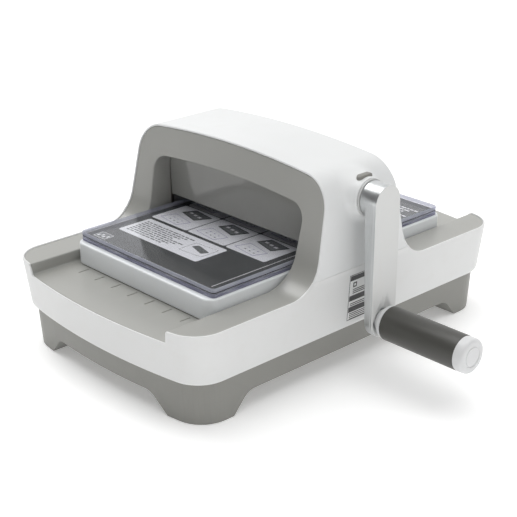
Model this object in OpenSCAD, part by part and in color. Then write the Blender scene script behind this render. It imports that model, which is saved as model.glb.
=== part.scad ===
// Hand-cranked die cutting machine: two steel rollers under an arch draw a
// platform with its cutting pads through from one side to the other.
// Units are millimetres. X is the crank's side, Y runs front to back, Z is up.
// The floor is z = 0. In the working frame below, x = 0 is the middle of the
// housing; place() then moves every node so the frame's origin is the middle
// of the bounding box's base.

/* [Housing] */
// Length over the bowed ends
body_l = 346.4; // [344:0.2:350]
// Width of the tray at its rim
body_w = 216.2; // [215.8:0.1:216.6]
// Height of the tray's rim
rim_z = 73.5; // [73:0.1:75]
// Height of the arch at its middle
arch_z = 160.2; // [159:0.1:162]
// Half depth of the arch at its top
arch_ya = 33.4; // [32.5:0.1:35]
// Lean of the arch's front and back faces, degrees
arch_lean = 10.9; // [10:0.1:12]
// Radius where the arch sweeps into the tray
sweep_r = 28; // [26:0.5:30]
// Wall of the moulded shells
wall = 2.8; // [2.4:0.1:3.0]

/* [Channel and nip] */
// Half width of the channel that the platform runs in
chan_x = 80.5; // [80.2:0.1:81]
// Height of the channel's floor
chan_z = 63.6; // [63.5:0.05:63.7]
// Radius of both rollers
roller_r = 16.1; // [15.9:0.1:16.1]
// Height of the upper roller's axis
upper_z = 105.3; // [105.3:0.1:105.5]
// Number of teeth on each roller gear
sync_teeth = 29; // [29:1:29]
// Module of the roller gears
sync_m = 2; // [2:0.5:2]

/* [Crank] */
// Teeth on the crank's pinion
pinion_teeth = 14; // [14:1:14]
// Teeth on the upper roller's drive gear
drive_teeth = 28; // [28:1:28]
// Module of the crank's gears
drive_m = 1.5; // [1.5:0.5:1.5]
// Distance from the crank's axis to the grip's
crank_len = 92; // [86:1:96]
// Half width of the arm
arm_w = 13.2; // [12.5:0.1:13.5]
// Radius of the grip
grip_r = 13.3; // [12.5:0.1:13.5]
// Length of the grip's sleeve
sleeve_l = 67.7; // [60:0.1:74]

/* [Platform and pads] */
// Half width of the platform
plat_x = 79.5; // [79:0.1:79.8]
// Length of the platform
plat_l = 254; // [246:1:256]
// Thickness of the platform
plat_t = 17.7; // [17.5:0.1:17.7]
// Thickness of each clear pad
pad_t = 3.4; // [3.1:0.1:3.4]
// Thickness of the printed sheet
sheet_t = 0.6; // [0.3:0.1:0.6]
// Half width of the pads
pad_x = 77.6; // [76:0.1:78]
// Length of the pads
pad_l = 245; // [236:1:246]

/* [Hidden] */

$fn = 96;
eps = 0.01;

half_l = body_l / 2;
half_w = body_w / 2;
bow_r = 518;
band_r = 25.5;
pan_r = 24.5;
seam_z = 83;
band_z = 33.7;
skirt_z = 16;
foot_z = 0.3;
arm_n = 10;

crank_z = upper_z + drive_m * (pinion_teeth + drive_teeth) / 2;
lower_z = upper_z - sync_m * sync_teeth;
plate_x0 = 84.5;
plate_x1 = 88;
gear_x0 = 90;
arm_x0 = 116.5;
face_x = 131;
grip_z = crank_z - crank_len;
sleeve_x0 = 137.8;
cap_x0 = sleeve_x0 + sleeve_l;
cap_t = 7.9;
cover_x = half_w + 0.9;
side_lean = 3.2;
boss_x = 113.5;
boss_r = 14.7;
plat_z = chan_z + 0.2;
plat_y = 2.4;
pad_z = plat_z + plat_t;
pocket_z = crank_z + 9.2;
button_z = crank_z + 11.2;

// The frame's origin is under the middle of the whole machine's box.
frame_x = (cap_x0 + cap_t - cover_x) / 2;

module place() {
    translate([-frame_x, 0, 0]) children();
}

// ---------------------------------------------------------------- outlines

function arc(cx, cy, r, a0, a1, n) =
    [for (i = [0:n]) [cx + r * cos(a0 + (a1 - a0) * i / n), cy + r * sin(a0 + (a1 - a0) * i / n)]];

function inner(p) = [for (i = [1:len(p) - 2]) p[i]];

function backwards(p) = [for (i = [len(p) - 1:-1:0]) p[i]];

// Plan outline with bowed ends: half width, half length at the middle, corner radius
function plan_pts(hw, hl, r) =
    let (yc = bow_r - hl, cx = hw - r)
    let (cy = yc - sqrt(pow(bow_r - r, 2) - cx * cx))
    let (a = atan2(yc - cy, cx))
    concat(
        arc(cx, cy, r, -a, 0, 9),
        arc(cx, -cy, r, 0, a, 9),
        inner(arc(0, -yc, bow_r, a, 180 - a, 8)),
        arc(-cx, -cy, r, 180 - a, 180, 9),
        arc(-cx, cy, r, 180, 180 + a, 9),
        inner(arc(0, yc, bow_r, 180 + a, 360 - a, 8))
    );

function unit(v) = v / norm(v);

// The corner c between a and b, rounded
function rounded(a, c, b, r, n) =
    let (u = unit(a - c), v = unit(b - c), h = acos(u * v) / 2)
    let (o = c + unit(u + v) * r / sin(h))
    let (p = c + u * r / tan(h) - o, q = c + v * r / tan(h) - o)
    let (a0 = atan2(p[1], p[0]), t = atan2(q[1], q[0]) - a0)
    let (w = t > 180 ? t - 360 : (t < -180 ? t + 360 : t))
    arc(o[0], o[1], r, a0, a0 + w, n);

// Gap between two feet, seen from outside: half width at the floor and at the top
function gap_half(wf, wt) =
    concat(
        [[wf + 4, -2]],
        rounded([wf + 4, -2], [wf + 1.5, 0.5], [wt, skirt_z], 2, 3),
        rounded([wf + 1.5, 0.5], [wt, skirt_z], [0, skirt_z], 13, 8)
    );

function gap_pts(wf, wt) = concat(gap_half(wf, wt), backwards(mirrored(gap_half(wf, wt))));

// A drafted block of the plan outline between two heights
module slab(z0, z1, hw0, hl0, hw1, hl1, r) {
    translate([0, 0, z0])
        linear_extrude(
            height = z1 - z0, scale = [hw1 / hw0, hl1 / hl0], slices = 1,
            $fn = 0, $fa = 90, $fs = 500
        )
            polygon(plan_pts(hw0, hl0, r));
}

module prism(z0, z1, hw, hl, r) {
    translate([0, 0, z0])
        linear_extrude(height = z1 - z0)
            polygon(plan_pts(hw, hl, r));
}

// Half depth of the arch at a height, d inside its face
function edge_y(z, d) = arch_ya - d / cos(arch_lean) + (arch_z - z) * tan(arch_lean);

sweep_y = edge_y(rim_z + sweep_r, 0) + sweep_r / cos(arch_lean);

// The line along the rim, round the sweep and up the arch's rear face, d inside it
function saddle_line(d, top) =
    concat(
        [[half_l + 30, rim_z - d]],
        arc(sweep_y, rim_z + sweep_r, sweep_r + d, 270, 180 + arch_lean, arm_n),
        [[edge_y(top, d), top]]
    );

function mirrored(p) = [for (q = p) [-q[0], q[1]]];

module across(x0, x1) {
    translate([x0, 0, 0]) rotate([90, 0, 90]) linear_extrude(height = x1 - x0) children();
}

module along(y0, y1) {
    translate([0, y1, 0]) rotate([90, 0, 0]) linear_extrude(height = y1 - y0) children();
}

// Everything under the saddle-shaped top of the machine, d inside it
module saddle(d) {
    across(-140, 140)
        polygon(concat(
            [[half_l + 30, -5]],
            saddle_line(d, arch_z + 5),
            backwards(mirrored(saddle_line(d, arch_z + 5))),
            [[-half_l - 30, -5]]
        ));
}

// Arch outline seen from the front, d inside it
crown_r = 820;
top_r = 25.7;

function side_x(z, d) = cover_x - d / cos(side_lean) - (z - seam_z) * tan(side_lean);

function top_centre() =
    let (dd = cover_x * cos(side_lean) + seam_z * sin(side_lean) - top_r)
    let (a = dd / cos(side_lean), b = tan(side_lean))
    let (zc = arch_z - crown_r, k = crown_r - top_r)
    let (h = a * b + zc, g = 1 + b * b)
    let (z = (h + sqrt(h * h - g * (a * a + zc * zc - k * k))) / g)
    [a - b * z, z];

function arch_half(d, z0) =
    let (c = top_centre())
    let (t = atan2(c[1] - (arch_z - crown_r), c[0]))
    concat(
        [[side_x(z0, d), z0]],
        arc(c[0], c[1], top_r - d, side_lean, t, 12),
        [for (i = [1:6]) [(crown_r - d) * cos(t + (90 - t) * i / 6),
            arch_z - crown_r + (crown_r - d) * sin(t + (90 - t) * i / 6)]]
    );

module arch_outline(d, z0) {
    polygon(concat(arch_half(d, z0), backwards(inner2(mirrored(arch_half(d, z0))))));
}

function inner2(p) = [for (i = [0:len(p) - 2]) p[i]];

// Mouth of the arch seen from the front, grown by d
mouth_top = 135.6;
mouth_r = 13;
mouth_crown = 900;

function mouth_half(d, z0) =
    let (x1 = 84.2 + d, zt = mouth_top + d, r = mouth_r + d)
    concat(
        [[chan_x + d, z0], [chan_x + d, rim_z - 1], [x1 - 1.6, 88]],
        arc(x1 - r, zt - 3.4 - r, r, 0, 84, 8),
        [for (i = [1:4]) [(x1 - r + 1) * (1 - i / 4), zt - 3.3 + 3.3 * (1 - pow(1 - i / 4, 2))]]
    );

module mouth_outline(d, z0) {
    polygon(concat(mouth_half(d, z0), backwards(inner2(mirrored(mouth_half(d, z0))))));
}

module rounded_rect(x0, x1, y0, y1, r) {
    translate([x0 + r, y0]) square([x1 - x0 - 2 * r, y1 - y0]);
    translate([x0, y0 + r]) square([x1 - x0, y1 - y0 - 2 * r]);
    for (x = [x0 + r, x1 - r]) {
        for (y = [y0 + r, y1 - r]) {
            translate([x, y]) circle(r = r);
        }
    }
}

module rod_x(x0, x1, y, z, r) {
    translate([x0, y, z]) rotate([0, 90, 0]) cylinder(h = x1 - x0, r = r);
}

// ------------------------------------------------------------------- gears

function inv_r(rb, t) = rb * sqrt(1 + pow(t * PI / 180, 2));

function inv_a(t) = t - atan(t * PI / 180);

// One tooth's outline about angle 0: root, involute flank, tip, and back
function tooth(m, z, play) =
    let (rp = m * z / 2, rb = rp * cos(20), ra = rp + 0.9 * m, rf = rp - 1.2 * m)
    let (ta = sqrt(pow(ra / rb, 2) - 1) * 180 / PI, tp = tan(20) * 180 / PI)
    let (half = 90 / z - play / rp * 90 / PI + inv_a(tp))
    let (flank = [for (i = [0:5]) let (t = ta * i / 5) [inv_r(rb, t), half - inv_a(t)]])
    concat(
        [[rf, -half - (rb > rf ? 0.6 : 0)]],
        [for (p = flank) [p[0], -p[1]]],
        backwards(flank),
        [[rf, half + (rb > rf ? 0.6 : 0)]]
    );

module gear_2d(m, z, start, play) {
    polygon([for (k = [0:z - 1]) for (p = tooth(m, z, play))
        [p[0] * cos(start + k * 360 / z + p[1]), p[0] * sin(start + k * 360 / z + p[1])]]);
}

// A spur gear on an axis along X; angle 0 is +Y and 90 is up
module gear_x(x0, x1, z, m, teeth, start, bore) {
    translate([x0, 0, z])
        rotate([90, 0, 90])
            linear_extrude(height = x1 - x0)
                difference() {
                    gear_2d(m, teeth, start, 0.12);
                    circle(r = bore);
                }
}

// ----------------------------------------------------------------- housing

// Grey lower pan: a skirt, four feet and a floor that carries the frame
module base_pan() {
    color([0.55, 0.55, 0.52])
    difference() {
        union() {
            difference() {
                union() {
                    slab(foot_z, band_z, half_w - 5.9, half_l - 10.9, half_w - 5.1, half_l - 8.2, pan_r);
                    prism(band_z - eps, 42, half_w - 5.5, half_l - 8.6, pan_r);
                }
                // inside of the skirt, above the floor
                slab(skirt_z + 2.5, 43, half_w - 8.9, half_l - 13.2, half_w - 8.3, half_l - 11.4, pan_r - 3);
                // gap under the front and rear between the feet
                along(-200, 200) polygon(gap_pts(68, 55));
                // gap under each side between the feet
                across(-120, 120) polygon(gap_pts(122, 110));
            }
            // well round the bottom of the lower roller's gear
            translate([-99.5, -24, 13.8]) cube([11, 48, 4.7]);
        }
        translate([-98, -22, 15.2]) cube([9, 44, 10]);
        // pockets for the rubber feet
        for (x = [-83, 83]) {
            for (y = [-138, 138]) {
                translate([x, y, -1]) cylinder(h = 4, r = 11);
            }
        }
        // screw holes through the floor
        for (p = screw_spots) {
            translate([p[0], p[1], skirt_z - 1]) cylinder(h = 6, r = 2.2);
        }
    }
}

screw_x = 46;
screw_spots = [for (x = [-screw_x, screw_x]) for (y = [-120, -60, 60, 120]) [x, y]];

module rubber_feet() {
    color([0.15, 0.15, 0.15])
    for (x = [-83, 83]) {
        for (y = [-138, 138]) {
            translate([x, y, 0]) cylinder(h = 3, r = 10.8);
        }
    }
}

// Screws that hold the pan to the trays' ribs
module base_screws() {
    color([0.6, 0.6, 0.62])
    for (p = screw_spots) {
        translate([p[0], p[1], 0]) {
            difference() {
                translate([0, 0, skirt_z - 2.4]) cylinder(h = 2.4, r = 4);
                translate([0, 0, skirt_z - 2.5]) cylinder(h = 1.3, r = 1.5, $fn = 6);
            }
            translate([0, 0, skirt_z - eps]) cylinder(h = 10, r = 1.8);
        }
    }
}

// White band round the tray, up to the seam on the arch's legs
module band_shell() {
    color([0.93, 0.94, 0.94])
    difference() {
        intersection() {
            union() {
                slab(band_z, 37.5, half_w - 3.9, half_l - 6.4, half_w - 2.1, half_l - 4.4, band_r);
                slab(37.5 - eps, seam_z, half_w - 2.1, half_l - 4.4, cover_x, half_l + 1.2, band_r);
            }
            saddle(0);
        }
        slab(band_z - 1, seam_z + 1, half_w - 5, half_l - 7.4, half_w - 1.85, half_l - 1.7, band_r - 2.6);
        // the channel runs out over both ends
        translate([-chan_x, -half_l - 20, chan_z]) cube([2 * chan_x, 60, 30]);
        translate([-chan_x, half_l - 40, chan_z]) cube([2 * chan_x, 60, 30]);
    }
}

module x_cone(x0, x1, r0, r1, z) {
    translate([x0, 0, z]) rotate([0, 90, 0]) cylinder(h = x1 - x0, r1 = r0, r2 = r1);
}

// White cover over the arch, with the boss that the crank turns in
module arch_cover() {
    color([0.95, 0.96, 0.96])
    difference() {
        union() {
            difference() {
                intersection() {
                    along(-60, 60) arch_outline(0, seam_z);
                    saddle(0);
                }
                along(-70, 70) arch_outline(wall, seam_z - 1);
            }
            intersection() {
                union() {
                    x_cone(90.2, boss_x, boss_r + 0.45, boss_r, crank_z);
                    x_cone(102, 110, 22, boss_r, crank_z);
                }
                union() {
                    along(-60, 60) arch_outline(-5, seam_z);
                    rod_x(88, 120, 0, crank_z, boss_r + 0.6);
                }
                // nothing of the boss hangs inside the shell but its own ring
                union() {
                    rod_x(88, 120, 0, crank_z, boss_r + 0.6);
                    translate([104, -40, 100]) cube([30, 80, 80]);
                }
            }
        }
        // hollow of the boss, round the pinion
        rod_x(87, 102.9, 0, crank_z, 13);
        // below the boss's axis the drive gear reaches into the shell
        translate([87, -25, crank_z - 40]) cube([15.9, 50, 34]);
        // seat for the bush
        rod_x(102, 120, 0, crank_z, 8.5);
        // pocket for the release button
        translate([0, 0, pocket_z]) linear_extrude(height = 12) button_outline(0.25);
    }
}

module button_outline(d) {
    for (y = [-5.6, 5.6]) {
        translate([107, y]) circle(r = 3.1 + d);
    }
    translate([103.9 - d, -5.6]) square([6.2 + 2 * d, 11.2]);
}

// ------------------------------------------------------------------- trays

// Room inside the housing's shells, g inside their walls
module inside(g) {
    intersection() {
        union() {
            slab(band_z - 1, seam_z, half_w - 5 - g, half_l - 7.4 - g, half_w - 1.9 - g, half_l - 1.8 - g, band_r - 2.6);
            along(-60, 60) arch_outline(wall + g, seam_z - eps);
        }
        translate([-120, -200, 0]) cube([240, 400, 200]);
    }
}

// Front moulding: channel floor, shelves, the sweep, the bezel and its liner
module tray_half() {
    difference() {
        union() {
            intersection() {
                union() {
                    // skin that follows the shelves, the sweep and the arch's face
                    difference() {
                        across(-110, 110)
                            polygon(concat(
                                mirrored(saddle_line(0.8, arch_z)),
                                backwards(mirrored(saddle_line(4, arch_z)))
                            ));
                        along(-200, 0) mouth_outline(0, chan_z - 20);
                    }
                    // liner from the mouth back to the shield
                    intersection() {
                        along(-60, -23.2)
                            difference() {
                                mouth_outline(3, chan_z - 3);
                                mouth_outline(0, chan_z);
                            }
                        saddle(1.5);
                    }
                    // channel
                    translate([-chan_x - 3, -half_l, chan_z - 3])
                        cube([2 * chan_x + 6, half_l - 10.5, 3]);
                    for (s = [-1, 1]) {
                        translate([s * (chan_x + 1.5) - 1.5, -half_l, chan_z - 3])
                            cube([3, half_l - 24, 9]);
                    }
                }
                inside(0.1);
            }
            // ribs and screw posts down to the pan's floor
            for (x = [-screw_x, screw_x]) {
                translate([x - 1.3, -150, 24]) cube([2.6, 112, chan_z - 3 - 24 + eps]);
                for (y = [-120, -60]) {
                    translate([x, y, skirt_z + 2.5]) cylinder(h = chan_z - skirt_z - 5, r = 5);
                }
            }
        }
        // scale marks in the channel's floor
        for (x = [-60:20:60]) {
            translate([x - 0.4, -136, chan_z - 0.5]) cube([0.8, 9.5, 1]);
        }
        for (x = [-screw_x, screw_x]) {
            for (y = [-120, -60]) {
                translate([x, y, skirt_z]) cylinder(h = 14, r = 1.8);
            }
        }
    }
}

module front_tray() {
    color([0.60, 0.60, 0.57]) tray_half();
}

module rear_tray() {
    color([0.60, 0.60, 0.57]) mirror([0, 1, 0]) tray_half();
}

// Smoked panel behind the mouth; its lower edge clears the pads
module shield_half() {
    intersection() {
        along(-23.2, -20.7) mouth_outline(2.6, chan_z);
        translate([-100, -30, 94.5]) cube([200, 20, 60]);
    }
}

module front_shield() {
    color([0.42, 0.42, 0.40]) shield_half();
}

module rear_shield() {
    color([0.42, 0.42, 0.40]) mirror([0, 1, 0]) shield_half();
}

// ------------------------------------------------------------ roller frame

module frame_plate() {
    color([0.62, 0.64, 0.66])
    translate([-plate_x1, -34, skirt_z + 2.5]) cube([2 * plate_x1, 68, 2.5]);
}

tie_spots = [[14, 140], [-14, 140], [26, 30], [-26, 30]];

module side_plate(top) {
    difference() {
        union() {
            translate([-34, skirt_z + 5]) square([68, 36]);
            translate([-20, skirt_z + 5]) square([40, top - skirt_z - 5]);
        }
        translate([0, upper_z]) circle(r = 9.5);
        translate([0, lower_z]) circle(r = 9.5);
        for (p = tie_spots) {
            translate(p) circle(r = 2.5);
        }
    }
}

module side_plate_left() {
    color([0.62, 0.64, 0.66])
    across(-plate_x1, -plate_x0) side_plate(147);
}

module side_plate_right() {
    color([0.62, 0.64, 0.66])
    across(plate_x0, plate_x1)
        difference() {
            side_plate(147);
            translate([0, crank_z]) circle(r = 8);
        }
}

// Two rods above the rollers and two below, shouldered between the plates
module tie_rods() {
    color([0.72, 0.73, 0.75])
    for (p = tie_spots) {
        rod_x(-plate_x0, plate_x0, p[0], p[1], 3.6);
        rod_x(-plate_x1 - 1.6, plate_x1 + 1.6, p[0], p[1], 2.5);
    }
}

module bush_x(x0, x1, flange_x0, flange_x1, z, r_out, r_flange, r_in) {
    difference() {
        union() {
            rod_x(x0, x1, 0, z, r_out);
            rod_x(flange_x0, flange_x1, 0, z, r_flange);
        }
        rod_x(min(x0, flange_x0) - 1, max(x1, flange_x1) + 1, 0, z, r_in);
    }
}

module roller_bushes() {
    color([0.78, 0.62, 0.35])
    for (z = [upper_z, lower_z]) {
        bush_x(plate_x0 - 0.8, plate_x1, plate_x0 - 0.8, plate_x0, z, 9.5, 11.5, 7.05);
        bush_x(-plate_x1, -plate_x0 + 0.8, -plate_x0, -plate_x0 + 0.8, z, 9.5, 11.5, 7.05);
    }
}

module crank_bush() {
    color([0.78, 0.62, 0.35]) {
        bush_x(102.9, boss_x, boss_x, boss_x + 1, crank_z, 8.5, 10.8, 6.05);
        bush_x(plate_x0 - 1, plate_x1, plate_x0 - 1, plate_x0, crank_z, 8, 9.4, 6.05);
    }
}

// Plain ring between the boss and the crank's head
module hub_ring() {
    color([0.80, 0.81, 0.80])
    difference() {
        rod_x(boss_x, 116.1, 0, crank_z, 14.2);
        rod_x(boss_x - 1, 120, 0, crank_z, 11);
    }
}

// ------------------------------------------------------------ moving parts

module roller(z, left, right) {
    rod_x(-80.2, 80.2, 0, z, roller_r);
    rod_x(-83.4, 83.4, 0, z, 10);
    rod_x(left, right, 0, z, 7);
}

module upper_roller() {
    color([0.70, 0.71, 0.72]) roller(upper_z, -96.8, 98.2);
}

module lower_roller() {
    color([0.70, 0.71, 0.72]) roller(lower_z, -96.8, 89.6);
}

module upper_sync_gear() {
    color([0.86, 0.86, 0.82])
    gear_x(-96, -gear_x0, upper_z, sync_m, sync_teeth, -90, 7);
}

module lower_sync_gear() {
    color([0.86, 0.86, 0.82])
    gear_x(-96, -gear_x0, lower_z, sync_m, sync_teeth, 90 + 180 / sync_teeth, 7);
}

module upper_drive_gear() {
    color([0.86, 0.86, 0.82])
    gear_x(gear_x0, 97.4, upper_z, drive_m, drive_teeth, 90 + 180 / drive_teeth, 7);
}

module drive_pinion() {
    color([0.65, 0.66, 0.68])
    gear_x(gear_x0, 97.4, crank_z, drive_m, pinion_teeth, -90, 6);
}

module crank_shaft() {
    color([0.70, 0.71, 0.72]) {
        rod_x(82, 126, 0, crank_z, 6);
        rod_x(98.4, 102.5, 0, crank_z, 8);
    }
}

// Straight-sided arm with round ends, in the YZ plane
module arm_outline(w) {
    translate([-w, grip_z]) square([2 * w, crank_len]);
    translate([0, crank_z]) circle(r = w);
    translate([0, grip_z]) circle(r = w);
}

// Silver arm: a deep head on the hub, thinning towards the grip
module crank_arm() {
    color([0.75, 0.76, 0.77])
    difference() {
        union() {
            intersection() {
                across(116, 129) arm_outline(arm_w);
                along(-20, 20)
                    polygon([[119, 160], [129, 160], [129, 20], [123.2, 20], [123.2, 50]]);
            }
            rod_x(arm_x0, 129, 0, crank_z, arm_w);
        }
        // bore for the shaft and thread for the spindle
        rod_x(110, 126, 0, crank_z, 6);
        rod_x(122, 130, 0, grip_z, 4.5);
    }
}

// Light grey inlay over the arm's outer face, dished round the grip
module crank_face() {
    color([0.83, 0.84, 0.83])
    difference() {
        across(129, face_x) arm_outline(arm_w);
        translate([129, 0, grip_z]) rotate([0, 90, 0]) cylinder(h = 2.02, r1 = 10.6, r2 = 12.7);
        rod_x(128, 130, 0, grip_z, 10.6);
    }
}

module grip_spindle() {
    color([0.70, 0.71, 0.72]) {
        rod_x(122.8, cap_x0 - 0.6, 0, grip_z, 4.5);
        rod_x(129, 129.8, 0, grip_z, 7.5);
    }
}

module spindle_washer() {
    color([0.70, 0.71, 0.72])
    difference() {
        rod_x(cap_x0 - 0.6, cap_x0 + 1.2, 0, grip_z, 7);
        rod_x(cap_x0 - 0.7, cap_x0 + 0.2, 0, grip_z, 3, $fn = 6);
    }
}

module grip_core() {
    color([0.90, 0.91, 0.90])
    difference() {
        union() {
            rod_x(130.1, cap_x0 - 0.9, 0, grip_z, 9);
            x_cone(131.6, 133, 9, 12.4, grip_z);
            rod_x(133, sleeve_x0, 0, grip_z, 12.4);
        }
        rod_x(130, cap_x0, 0, grip_z, 4.56);
    }
}

module grip_sleeve() {
    color([0.27, 0.27, 0.26])
    difference() {
        rod_x(sleeve_x0, cap_x0, 0, grip_z, grip_r);
        rod_x(sleeve_x0 - 1, cap_x0 + 1, 0, grip_z, 9);
    }
}

module grip_end_cap() {
    color([0.92, 0.93, 0.93])
    difference() {
        translate([cap_x0, 0, grip_z])
            rotate([0, 90, 0])
                rotate_extrude()
                    difference() {
                        union() {
                            square([grip_r - 0.1, cap_t - 3]);
                            square([grip_r - 3.1, cap_t]);
                            translate([grip_r - 3.1, cap_t - 3]) circle(r = 3);
                        }
                        translate([-20, -1]) square([20, 20]);
                    }
        rod_x(cap_x0 - 1, cap_x0 + 2.2, 0, grip_z, 8);
    }
}

// ---------------------------------------------------------- platform, pads

module platform_base() {
    color([0.80, 0.83, 0.85])
    translate([0, 0, plat_z])
        linear_extrude(height = plat_t)
            rounded_rect(-plat_x, plat_x, plat_y - plat_l / 2, plat_y + plat_l / 2, 7);
}

module pad(z, t) {
    translate([0, 0, z])
        linear_extrude(height = t)
            rounded_rect(-pad_x, pad_x, plat_y - pad_l / 2, plat_y + pad_l / 2, 3);
}

module lower_pad() {
    color([0.75, 0.76, 0.85, 0.6]) pad(pad_z, pad_t);
}

module printed_sheet() {
    color([0.88, 0.87, 0.86]) pad(pad_z + pad_t, sheet_t);
}

module upper_pad() {
    color([0.75, 0.76, 0.85, 0.6]) pad(pad_z + pad_t + sheet_t, pad_t);
}

// ---------------------------------------------------------- release button

module release_button() {
    color([0.53, 0.53, 0.50])
    intersection() {
        rod_x(100, 112, 0, crank_z, boss_r + 1.2);
        translate([0, 0, button_z]) linear_extrude(height = 30) button_outline(0);
    }
}

module button_spring() {
    color([0.70, 0.71, 0.72])
    translate([107, 0, pocket_z])
        difference() {
            cylinder(h = button_z - pocket_z, r = 2.4);
            translate([0, 0, -1]) cylinder(h = 5, r = 1.8);
        }
}

// -------------------------------------------------------------------- nodes

place() base_pan();
place() rubber_feet();
place() base_screws();
place() band_shell();
place() arch_cover();
place() front_tray();
place() rear_tray();
place() front_shield();
place() rear_shield();
place() frame_plate();
place() side_plate_left();
place() side_plate_right();
place() tie_rods();
place() roller_bushes();
place() crank_bush();
place() hub_ring();
place() upper_roller();
place() upper_sync_gear();
place() upper_drive_gear();
place() lower_roller();
place() lower_sync_gear();
place() crank_shaft();
place() drive_pinion();
place() crank_arm();
place() crank_face();
place() grip_spindle();
place() spindle_washer();
place() grip_core();
place() grip_sleeve();
place() grip_end_cap();
place() platform_base();
place() lower_pad();
place() printed_sheet();
place() upper_pad();
place() release_button();
place() button_spring();
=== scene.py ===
"""The looks of a hand-cranked die cutting machine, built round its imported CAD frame.

Lengths are in millimetres in the housing's own axes (x = 0 on its middle, -y its front) until
piece() turns them into the frame's metres.
"""

from math import asin, atan2, cos, hypot, pi, radians, sin, sqrt, tan

import bmesh
import bpy
import numpy as np
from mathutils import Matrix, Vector


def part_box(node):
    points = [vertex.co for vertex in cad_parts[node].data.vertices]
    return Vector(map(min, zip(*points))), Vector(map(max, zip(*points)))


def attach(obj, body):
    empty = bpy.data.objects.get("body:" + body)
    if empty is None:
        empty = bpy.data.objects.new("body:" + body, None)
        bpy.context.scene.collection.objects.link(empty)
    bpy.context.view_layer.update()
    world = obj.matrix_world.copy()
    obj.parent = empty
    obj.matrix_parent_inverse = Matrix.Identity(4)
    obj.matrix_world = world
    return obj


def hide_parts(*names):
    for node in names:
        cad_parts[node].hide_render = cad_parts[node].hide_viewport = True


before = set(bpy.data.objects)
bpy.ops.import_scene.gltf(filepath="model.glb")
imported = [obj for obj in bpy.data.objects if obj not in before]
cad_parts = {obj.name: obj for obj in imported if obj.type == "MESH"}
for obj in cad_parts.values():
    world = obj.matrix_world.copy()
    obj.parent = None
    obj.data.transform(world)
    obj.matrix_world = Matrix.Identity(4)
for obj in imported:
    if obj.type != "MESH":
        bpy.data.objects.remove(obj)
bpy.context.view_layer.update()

MM = 0.001
low_corner, high_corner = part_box("platform_base")
MID_X = (low_corner.x + high_corner.x) / 2 / MM  # the housing's middle in the frame

# ------------------------ the machine's own sizes
RIM_Z = 73.5  # top of the white band round the shelves
CHAN_X, CHAN_Z = 80.5, 63.6  # half width and floor of the sunk channel
ARCH_Z, ARCH_YA, LEAN = 160.2, 33.4, radians(10.9)  # top, half depth there, lean of the faces
SWEEP_R = 28.0  # the arch's faces run down into the shelves with this radius
WALL = 1.7  # thickness that the white shells show at their rims
SEAM_Z = 83.0  # between the band and the arch's cover
SIDE_LEAN = radians(3.2)
COVER_X = 109.0  # half width of the cover at the seam
CROWN_R, TOP_R = 820.0, 25.7  # of the cover's top and of its shoulders
BOW_R, BAND_R = 518.0, 25.5  # of the band's bowed ends and of its corners, in plan
BAND_FOOT_X, BAND_FOOT_Y, BAND_FOOT_Z = 106.0, 168.8, 37.5  # low end of its leaning walls
FLARE_X, FLARE_Y = 3.0, 5.6  # how far those walls lean out up to the seam
MOUTH_X, MOUTH_Z, MOUTH_R, MOUTH_TOP = 84.2, 119.2, 13.0, 135.6  # corners start at X, Z
MOUTH_TURN = 84.0  # degrees of a corner, which leaves the mouth's top a little raised
KNEE_X, KNEE_Z = 82.6, 88.0  # where the mouth's legs turn in towards the channel
CRANK_Z, GRIP_Z = 136.8, 44.8
BOSS_X, BOSS_R = 113.5, 14.7
FACE_X, INLAY_X, ARM_W = 131.0, 129.0, 13.2
BUTTON_X, BUTTON_Y, BUTTON_R = 107.5, 4.5, 2.7
GRIP_R, SLEEVE_X, CAP_X, CAP_T = 13.3, 137.8, 205.5, 7.9
PLAT_X, PLAT_Y, PLAT_L, PLAT_Z, PLAT_T = 79.2, 2.4, 254.0, 63.8, 17.7
PAD_X, PAD_L, PAD_T, SHEET_T = 77.6, 245.0, 3.4, 0.6
PAD_Z = PLAT_Z + PLAT_T
SHIELD_Y0, SHIELD_Y1, SHIELD_Z = 20.7, 23.2, 94.5
TRAY_D = 0.8  # the grey faces lie this far inside the white rims


# ------------------------ mesh tools
def vec(*a):
    return np.array(a, float)


def unit(v):
    n = np.linalg.norm(v)
    return v / n if n > 1e-12 else v


def ray(a):
    """The 2-D direction at an angle"""
    return vec(cos(a), sin(a))


def lerp(a, b, t):
    return a + (b - a) * t


def bezier(p, c, q, n):
    """n + 1 points that round the corner c between p and q"""
    return [
        (1 - t) ** 2 * p + 2 * t * (1 - t) * c + t * t * q
        for t in (i / n for i in range(n + 1))
    ]


def loft(rings, ring_closed=True, path_closed=False, caps=True):
    """A skin over rings of equal point counts; open paths get an end face each"""
    n, m = len(rings), len(rings[0])
    pts = [p for ring in rings for p in ring]
    faces = []
    for i in range(n if path_closed else n - 1):
        a, b = i * m, (i + 1) % n * m
        for j in range(m if ring_closed else m - 1):
            k = (j + 1) % m
            faces.append((a + j, a + k, b + k, b + j))
    if caps and not path_closed:
        faces.append(tuple(range(m)))
        faces.append(tuple(range((n - 1) * m, n * m))[::-1])
    return pts, faces


def lathe(profile, z, count=96):
    """A turned part about an axis along X: profile is (x, radius) points, in a closed loop or
    from axis to axis"""
    closed = profile[0][1] > 0.01
    rings = []
    for k in range(count):
        a = 2 * pi * k / count
        rings.append([vec(x, r * sin(a), z + r * cos(a)) for x, r in profile])
    return loft(rings, ring_closed=closed, path_closed=True)


def corner(p, c, q, r, n=4):
    """The 2-D corner c between p and q, rounded by about r"""
    p, c, q = vec(*p), vec(*c), vec(*q)
    return [tuple(v) for v in bezier(c + unit(p - c) * r, c, c + unit(q - c) * r, n)]


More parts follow.
